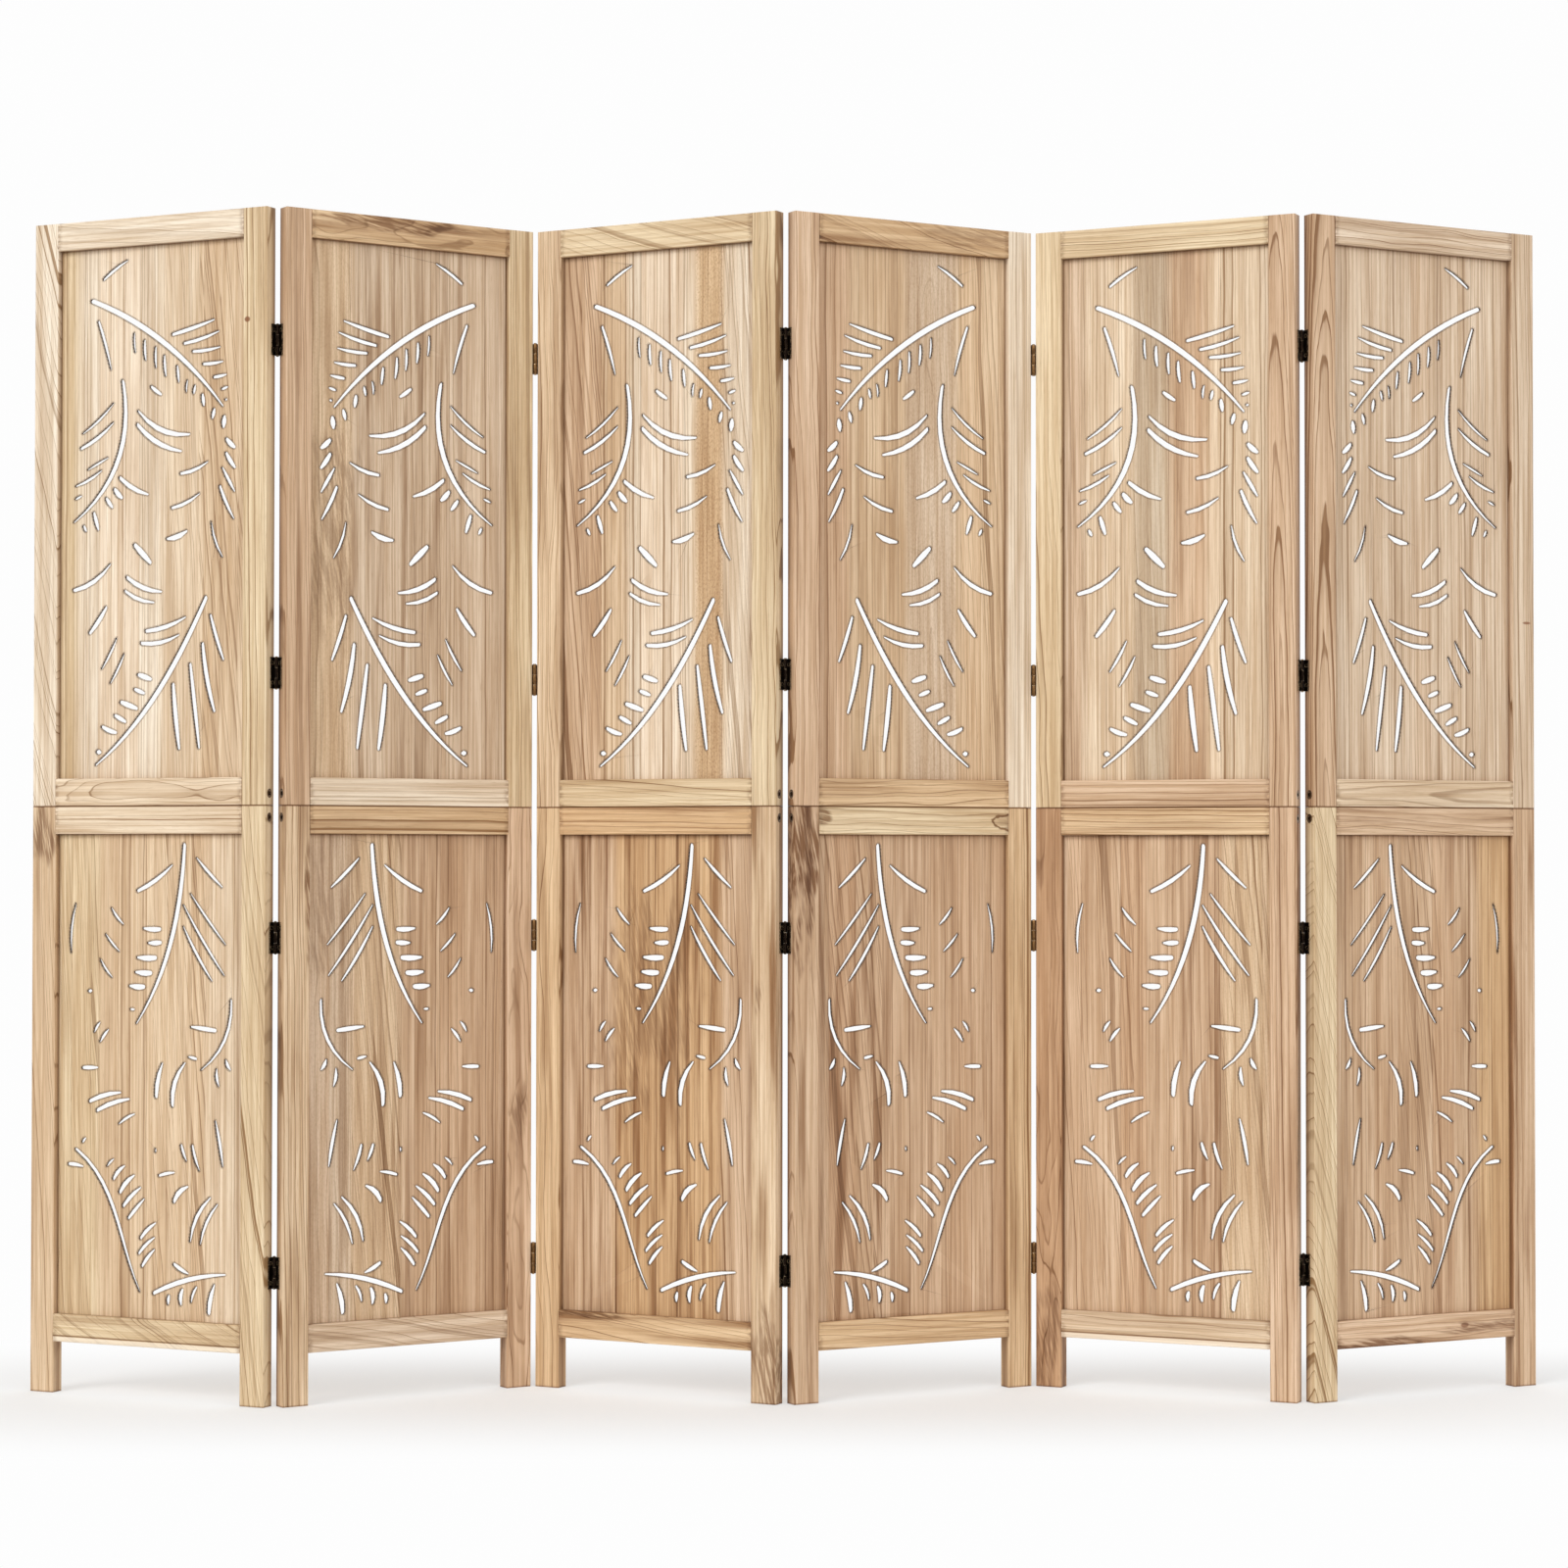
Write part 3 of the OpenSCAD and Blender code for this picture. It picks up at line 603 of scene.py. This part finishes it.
# What each panel is cut from, from left to right and from the foot up. A board's planks are
# [start in mm, tone, cut, streaks, flecks], and the frame's pieces [tone, cut, streaks].
panelWoods = {
    1: {
        "upperBoard": [[34, "straw", "straight", 0.25, 0], [70, "cream", "straight", 0, 0],
                       [150, "cream", "straight", 0.1, 0], [215, "pale", "slant", 0.1, 0],
                       [280, "wheat", "slant", 0.3, 0]],
        "lowerBoard": [[34, "straw", "slant", 0.2, 0], [112, "wheat", "straight", 0.2, 0],
                       [205, "wheat", "slant", 0.2, 0], [295, "pale", "straight", 0.2, 0]],
        "upperStiles": [["cream", "cross", 0.1], ["straw", "dense", 0.1]],
        "legs": [["wheat", "slant", 0.3], ["straw", "cross", 0.1]],
        "rails": [["straw", "steep", 0.3], ["pale", "straight", 0.1], ["pale", "loops", 0.0],
                  ["cream", "slant", 0.1]],
    },
    2: {
        "upperBoard": [[34, "wheat", "ripple", 0.4, 0.4], [108, "oat", "dense", 0.7, 0],
                       [210, "oat", "straight", 0.55, 0], [290, "oat", "straight", 0.15, 0]],
        "lowerBoard": [[34, "oat", "ripple", 0.6, 0.4], [112, "wheat", "slant", 0.45, 0.3],
                       [190, "tan", "straight", 0.5, 0], [290, "blush", "straight", 0.35, 0]],
        "upperStiles": [["blush", "dense", 0.5], ["straw", "dense", 0.45]],
        "legs": [["wheat", "dense", 0.6], ["rose", "wild", 0.6]],
        "rails": [["linen", "cross", 0.4], ["honey", "straight", 0.25], ["cream", "straight", 0.05],
                  ["honey", "wild", 1.0]],
    },
    3: {
        "upperBoard": [[34, "tan", "slant", 0.45, 0], [105, "wheat", "straight", 0.2, 0],
                       [148, "cream", "straight", 0, 0], [208, "cream", "straight", 0.1, 0],
                       [262, "honey", "straight", 0.15, 1], [308, "cream", "slant", 0.1, 0.2]],
        "lowerBoard": [[34, "tan", "straight", 0.9, 0], [130, "toast", "straight", 0.9, 0],
                       [215, "toast", "straight", 0.85, 0], [305, "tan", "slant", 0.5, 0]],
        "upperStiles": [["wheat", "wavy", 0.45], ["straw", "wavy", 0.1]],
        "legs": [["honey", "ripple", 0.5], ["wheat", "straight", 1.0]],
        "rails": [["honey", "slant", 0.9], ["toast", "dense", 0.6], ["straw", "slant", 0.2],
                  ["straw", "steep", 0.0]],
    },
    4: {
        "upperBoard": [[34, "rose", "straight", 0.15, 0], [95, "wheat", "straight", 0.3, 0],
                       [190, "oat", "figure", 0.1, 0.5], [275, "wheat", "slant", 0.1, 0]],
        "lowerBoard": [[34, "blush", "slant", 0.8, 0], [150, "blush", "straight", 0.5, 0],
                       [250, "blush", "straight", 0.3, 0]],
        "upperStiles": [["rose", "wavy", 0.2], ["cream", "straight", 0.2]],
        "legs": [["tan", "slant", 0.8], ["honey", "straight", 0.5]],
        "rails": [["honey", "slant", 0.2], ["straw", "ripple", 0.2], ["honey", "ripple", 0.45],
                  ["honey", "cross", 0.7]],
    },
    5: {
        "upperBoard": [[34, "oat", "straight", 0.45, 0], [75, "pale", "straight", 0.2, 0],
                       [150, "ash", "slant", 0.3, 0.2], [205, "tan", "straight", 0.4, 0],
                       [262, "pale", "straight", 0.2, 0]],
        "lowerBoard": [[34, "tan", "slant", 0.2, 0], [150, "tan", "straight", 0.4, 0],
                       [225, "blush", "straight", 0.8, 0], [285, "wheat", "slant", 0.35, 0.3]],
        "upperStiles": [["straw", "ripple", 0.0], ["blush", "flame", 0.15]],
        "legs": [["umber", "wild", 0.45], ["rose", "dense", 0.4]],
        "rails": [["pale", "ripple", 0.3], ["honey", "dense", 0.4], ["tan", "dense", 0.3],
                  ["straw", "dense", 0.0]],
    },
    6: {
        "upperBoard": [[34, "linen", "straight", 0.2, 0], [112, "linen", "straight", 0.2, 0],
                       [240, "linen", "straight", 0.0, 0]],
        "lowerBoard": [[34, "tan", "straight", 0.4, 0], [150, "tan", "slant", 0.5, 0],
                       [235, "tan", "straight", 0.5, 0], [300, "toast", "straight", 0.3, 0]],
        "upperStiles": [["blush", "arch", 0.3], ["oat", "dense", 0.0]],
        "legs": [["straw", "cross", 0.1], ["tan", "straight", 0.85]],
        "rails": [["rose", "wavy", 1.0], ["tan", "ripple", 0.6], ["pale", "arch", 0.15],
                  ["linen", "wavy", 0.25]],
    },
}

# Knots and dark patches that show, and strips of painted highlight with painted shade above, by panel and
# part: the middle in mm along the panel and up, and how far each reaches from there
woodMarks = {
    (1, "upperStiles"): [{"kind": "knot", "at": (367, 1541), "size": (6, 5), "depth": 0.9}],
    (1, "legs"): [{"kind": "patch", "at": (14, 812), "size": (26, 50), "depth": 0.8}],
    (1, "rails"): [{"kind": "strip", "at": (200, 74), "size": (160, 8), "depth": 0.55}],
    (2, "rails"): [{"kind": "patch", "at": (170, 1692), "size": (130, 16), "depth": 0.9}],
    (2, "upperBoard"): [{"kind": "patch", "at": (78, 1250), "size": (46, 170), "depth": 0.45}],
    (2, "lowerBoard"): [{"kind": "patch", "at": (60, 700), "size": (26, 110), "depth": 0.4}],
    (2, "legs"): [{"kind": "patch", "at": (38, 700), "size": (7, 80), "depth": 1.0},
                  {"kind": "patch", "at": (380, 395), "size": (18, 55), "depth": 0.6}],
    (3, "rails"): [{"kind": "patch", "at": (100, 113), "size": (70, 9), "depth": 0.9}],
    (3, "legs"): [{"kind": "patch", "at": (380, 50), "size": (30, 110), "depth": 0.8},
                  {"kind": "patch", "at": (372, 575), "size": (9, 34), "depth": 0.6}],
    (3, "lowerBoard"): [{"kind": "patch", "at": (190, 560), "size": (90, 160), "depth": 0.45}],
    (4, "legs"): [{"kind": "patch", "at": (12, 775), "size": (40, 140), "depth": 1.0}],
    (4, "rails"): [{"kind": "eye", "at": (356, 829), "size": (22, 11), "depth": 1.0},
                   {"kind": "patch", "at": (46, 838), "size": (16, 14), "depth": 0.9},
                   {"kind": "patch", "at": (300, 1684), "size": (80, 20), "depth": 0.45}],
    (5, "legs"): [{"kind": "patch", "at": (20, 60), "size": (30, 90), "depth": 0.6}],
    (5, "rails"): [{"kind": "strip", "at": (200, 74), "size": (160, 8), "depth": 0.5}],
    (6, "rails"): [{"kind": "knot", "at": (268, 96), "size": (9, 5), "depth": 0.7},
                   {"kind": "patch", "at": (110, 79), "size": (120, 10), "depth": 0.9},
                   {"kind": "patch", "at": (300, 92), "size": (110, 10), "depth": 0.7}],
    (6, "upperStiles"): [{"kind": "knot", "at": (386, 1124), "size": (9, 2.5), "depth": 0.8}],
}


def boardPieces(planks):
    return [{"from": start, "start": start, "tone": wood, "cut": cut, "streaks": streaks, "flecks": flecks}
            for start, wood, cut, streaks, flecks in planks]


def framePieces(woods, starts):
    return [{"from": start - frameWood["lead"], "start": start, "tone": wood, "cut": cut,
             "streaks": streaks, "flecks": 0} for (wood, cut, streaks), start in zip(woods, starts)]


def boardEdges(number, name):
    # The part of a board that shows inside its frame: from and to in u, then in z
    points, place, hidden = meshPoints(name), panelPlaces[number], boardShadeAndScorch["hidden"]
    across, up = points @ place["along"] - place["left"], points[:, 2]
    return [float(value) for value in (across.min() + hidden, across.max() - hidden,
                                       up.min() + hidden, up.max() - hidden)]


def frameEdges(number):
    # Where the frame's own edges lie, and where its four rails start, from the foot up
    place = panelPlaces[number]
    board, stiles, lowerBoard, rails, legs = (meshPoints(f"panel_{number}_{part}") for part in (
        "upper_board", "upper_stiles", "lower_board", "rails", "legs"))
    foot, top = float(rails[:, 2].min()), float(rails[:, 2].max())
    wide, groove = frameWood["wide"], frameWood["groove"]
    lowerTop, upperFoot = float(lowerBoard[:, 2].max()) - groove, float(board[:, 2].min()) + groove
    across = float(np.ptp(stiles @ place["along"]))
    return {"seam": float(legs[:, 2].max()), "across": across, "thick": float(np.ptp(stiles @ place["back"])),
            "rails": [foot + wide, lowerTop, upperFoot, top - wide],
            "railStarts": [foot, lowerTop, upperFoot - wide, top - wide],
            "stiles": [wide, across - wide],
            "board": float((board @ place["back"]).mean() - place["front"])}


def dressWood():
    group = sawnTimberGroup()
    stileStarts = [0, frameWood["rightStile"]]
    for number, woods in panelWoods.items():
        frameLimits = frameEdges(number)
        for part, node, pieces in (
                ("upperBoard", "upper_board", boardPieces(woods["upperBoard"])),
                ("lowerBoard", "lower_board", boardPieces(woods["lowerBoard"])),
                ("upperStiles", "upper_stiles", framePieces(woods["upperStiles"], stileStarts)),
                ("legs", "legs", framePieces(woods["legs"], stileStarts)),
                ("rails", "rails", framePieces(woods["rails"], frameLimits["railStarts"]))):
            name = f"panel_{number}_{node}"
            lies, glued = part == "rails", part.endswith("Board")
            limits = boardEdges(number, name) if glued else frameLimits
            marks = woodMarks.get((number, part), ())
            wood = timber(f"{part}Wood{number}", number, pieces, group, lies, glued, marks, limits)
            dress(nodes[name], wood)
        print("panel", number, "in wood")


# Each metal has a dark finish, a tone for wear and painted highlights, and edges of their own: how far they
# reach in metres, and the least of them that shows. The brass's bright edges are wear and a painted
# highlight; the bolts' light tone is a painted highlight, and their dark edges are painted shade
metals = {
    "oldBrass": {"dark": tone(34, 25, 20), "wornAndSheen": tone(116, 86, 54), "edge": tone(232, 206, 168),
                 "edgeReach": 0.0009, "edgeLeast": 0.1, "roughness": (0.36, 0.52), "barrels": True},
    "boltSteel": {"dark": tone(122, 96, 70), "wornAndSheen": tone(232, 208, 172), "edge": tone(30, 22, 16),
                  "edgeReach": 0.003, "edgeLeast": 1.0, "roughness": (0.30, 0.45), "barrels": False},
}

metalWearAndSheen = {
    "blotch": ((0.35, 0.35, 0.22), 3.0),
    "brush": ((3.0, 3.0, 0.25), 2.0), "brushShare": 0.35,
    "wearAndSheenLevels": (0.68, 0.96, 0.0, 0.5),
    "besideBarrels": 0.4,                  # how much of the wear is left on a hinge's leaves
    "rubbedLitFrontLevels": (0.0, -1.5),            # mm in front of the panel where hands rub the barrels and light is painted on them
    "rubbedLitLevels": (0.30, 0.62, 0.45, 1.0),
    "edgeLevels": (0.99, 0.93),            # flatness where the edge starts, and where it is full
    "edgePatches": (0.38, 0.58),
    "roughLevels": (0.25, 0.75),
    "bump": (0.35, 0.00008),               # strength and metres
}


def agedMetal(name, number):
    look = metals[name]
    material, tree = newMaterial(f"{name}{number}")
    place = panelPosition(tree, number)
    blotch = grain(tree, place, *metalWearAndSheen["blotch"])
    brush = grain(tree, place, *metalWearAndSheen["brush"])
    uneven = plus(tree, blotch, times(tree, brush, metalWearAndSheen["brushShare"]))
    wearAndSheen = ramp(tree, uneven, *metalWearAndSheen["wearAndSheenLevels"])
    if look["barrels"]:
        # The barrels in front stand proud of the frame, where hands rub them; they are also painted lighter,
        # as lit, while the barrels behind stay dark as in shade
        rubbedLitFront = ramp(tree, splitVector(tree, place)[1], *metalWearAndSheen["rubbedLitFrontLevels"])
        wearAndSheen = sums(tree, "MAXIMUM", times(tree, wearAndSheen, metalWearAndSheen["besideBarrels"]),
                    times(tree, rubbedLitFront, ramp(tree, blotch, *metalWearAndSheen["rubbedLitLevels"])))
    colour = mixTone(tree, wearAndSheen, look["dark"], look["wornAndSheen"])
    # Painted edges: a bright painted highlight on the brass, with its wear, and painted dark shade round the
    # bolts
    edged = times(tree, ramp(tree, flatness(tree, look["edgeReach"]), *metalWearAndSheen["edgeLevels"]),
                  ramp(tree, blotch, *metalWearAndSheen["edgePatches"], look["edgeLeast"], 1.0))
    colour = mixTone(tree, edged, colour, look["edge"])
    rough = ramp(tree, brush, *metalWearAndSheen["roughLevels"], *look["roughness"])
    strength, distance = metalWearAndSheen["bump"]
    bump = put(tree, "Bump", {"Strength": strength, "Distance": distance, "Height": brush})
    finishMaterial(tree, put(tree, "BsdfPrincipled", {
        "Base Color": colour, "Metallic": 1.0, "Roughness": rough, "Normal": bump}))
    return material


dowelLook = {
    "wood": tone(206, 168, 118),
    "line": tone(168, 118, 74),
    "fibre": ((0.9, 0.9, 0.03), 3.0),
    "lineLevels": (0.3, 0.7),
    "roughness": (0.2, 0.8, 0.5, 0.7),
    "bump": (0.4, 0.0001),
}


def dowelWood():
    material, tree = newMaterial("dowelWood")
    place = vectors(tree, "MULTIPLY", put(tree, "TexCoord", {}, "Object"), (perMetre,) * 3)
    fibre = grain(tree, place, *dowelLook["fibre"])
    colour = mixTone(tree, ramp(tree, fibre, *dowelLook["lineLevels"]), dowelLook["wood"], dowelLook["line"])
    strength, distance = dowelLook["bump"]
    bump = put(tree, "Bump", {"Strength": strength, "Distance": distance, "Height": fibre})
    finishMaterial(tree, put(tree, "BsdfPrincipled", {
        "Base Color": colour, "Roughness": ramp(tree, fibre, *dowelLook["roughness"]), "Normal": bump}))
    return material


def dressHardware():
    dowels = dowelWood()
    for number in panelPlaces:
        brass, steel = agedMetal("oldBrass", number), agedMetal("boltSteel", number)
        for name, finish in ((f"panel_{number}_hinge_leaves", brass), (f"panel_{number}_hinge_screws", brass),
                             (f"hinge_pins_{number}", brass), (f"panel_{number}_frame_bolts", steel),
                             (f"panel_{number}_joining_dowels", dowels)):
            if name in nodes:
                dress(nodes[name], finish)
    print("hardware dressed")


edgeEase = {
    "widths": {              # metres, by the end of the node's name
        "board": 0.0006,
        "stiles": 0.0009,
        "legs": 0.0009,
        "rails": 0.0008,
        "leaves": 0.00025,
        "bolts": 0.0008,
        "screws": 0.00015,
    },
    "steps": 2,
    "sharpFrom": 40,         # degrees
    "weld": 0.000001,
}


def easeEdges():
    for name, thing in nodes.items():
        for ending, width in edgeEase["widths"].items():
            if name.endswith(ending):
                weld = thing.modifiers.new("weld", "WELD")
                weld.merge_threshold = edgeEase["weld"]
                ease = thing.modifiers.new("ease", "BEVEL")
                ease.width = width
                ease.segments = edgeEase["steps"]
                ease.limit_method = "ANGLE"
                ease.angle_limit = math.radians(edgeEase["sharpFrom"])
    print("edges eased")


studio = {
    "white": 0.985,                        # what the camera sees behind the screen
    "ambient": 0.48,                       # soft light from all round
    "keyLevel": 0.92, "keyFrom": (-0.62, -0.72, 0.60), "keySpread": 34,
    "fillLevel": 0.67, "fillFrom": (0.60, -0.85, 0.25), "fillSpread": 60,
    "backLevel": 0.72, "backFrom": (0.35, 0.85, 0.40), "backSpread": 75,
    "floorTone": (0.90, 0.90, 0.89, 1),
    "floorReach": 30,                      # metres each way
    "floorDrop": 0.0002,                   # metres below the feet
    "floorSpan": (0.15, 1.0, 0.0),         # the shading reaches less far in depth than across
    "floorFade": (0.08, 0.60, 0.35, 1.0),  # metres from the middle, and how far plain white hides shading
}


def seenByCamera(tree):
    # Straight, or by way of glass or metal
    path = tree.nodes.new("ShaderNodeLightPath")
    seen = sums(tree, "MAXIMUM", path.outputs["Is Camera Ray"], path.outputs["Is Transmission Ray"])
    return sums(tree, "MAXIMUM", seen, path.outputs["Is Glossy Ray"])


def lightStudio():
    world = bpy.data.worlds.new("studio")
    bpy.context.scene.world = world
    world.use_nodes = True
    tree = world.node_tree
    tree.nodes.clear()
    level = put(tree, "Mix", {0: seenByCamera(tree), 2: studio["ambient"], 3: studio["white"]},
                data_type="FLOAT")
    sky = put(tree, "Background", {"Color": (1, 1, 1, 1), "Strength": level})
    tree.links.new(sky, tree.nodes.new("ShaderNodeOutputWorld").inputs[0])

    for lamp in ("key", "fill", "back"):
        sun = bpy.data.lights.new(lamp, "SUN")
        sun.energy = studio[lamp + "Level"] * math.pi / 2      # a lone sun of pi shows a face as it is
        sun.angle = math.radians(studio[lamp + "Spread"])
        holder = bpy.data.objects.new(lamp, sun)
        holder.rotation_mode = "QUATERNION"
        holder.rotation_quaternion = Vector(studio[lamp + "From"]).to_track_quat("Z", "Y")
        bpy.context.scene.collection.objects.link(holder)
    print("lamps set")


def layFloor():
    shape = bmesh.new()
    bmesh.ops.create_grid(shape, x_segments=8, y_segments=8, size=studio["floorReach"])
    mesh = bpy.data.meshes.new("floor")
    shape.to_mesh(mesh)
    shape.free()
    floor = bpy.data.objects.new("floor", mesh)
    floor.location.z = -studio["floorDrop"]
    bpy.context.scene.collection.objects.link(floor)
    material, tree = newMaterial("paleFloor")
    spot = vectors(tree, "MULTIPLY", put(tree, "TexCoord", {}, "Object"), studio["floorSpan"])
    fade = ramp(tree, vectors(tree, "LENGTH", spot, out="Value"), *studio["floorFade"])
    plain = put(tree, "BsdfDiffuse", {"Color": studio["floorTone"]})
    glow = put(tree, "Emission", {"Color": (1, 1, 1, 1), "Strength": studio["white"]})
    share = times(tree, seenByCamera(tree), fade)
    finishMaterial(tree, put(tree, "MixShader", {0: share, 1: plain, 2: glow}))
    dress(floor, material)
    print("floor laid")


placeCamera()
dressWood()
dressHardware()
easeEdges()
lightStudio()
layFloor()
bpy.context.scene.view_settings.view_transform = "Standard"

print("finished")
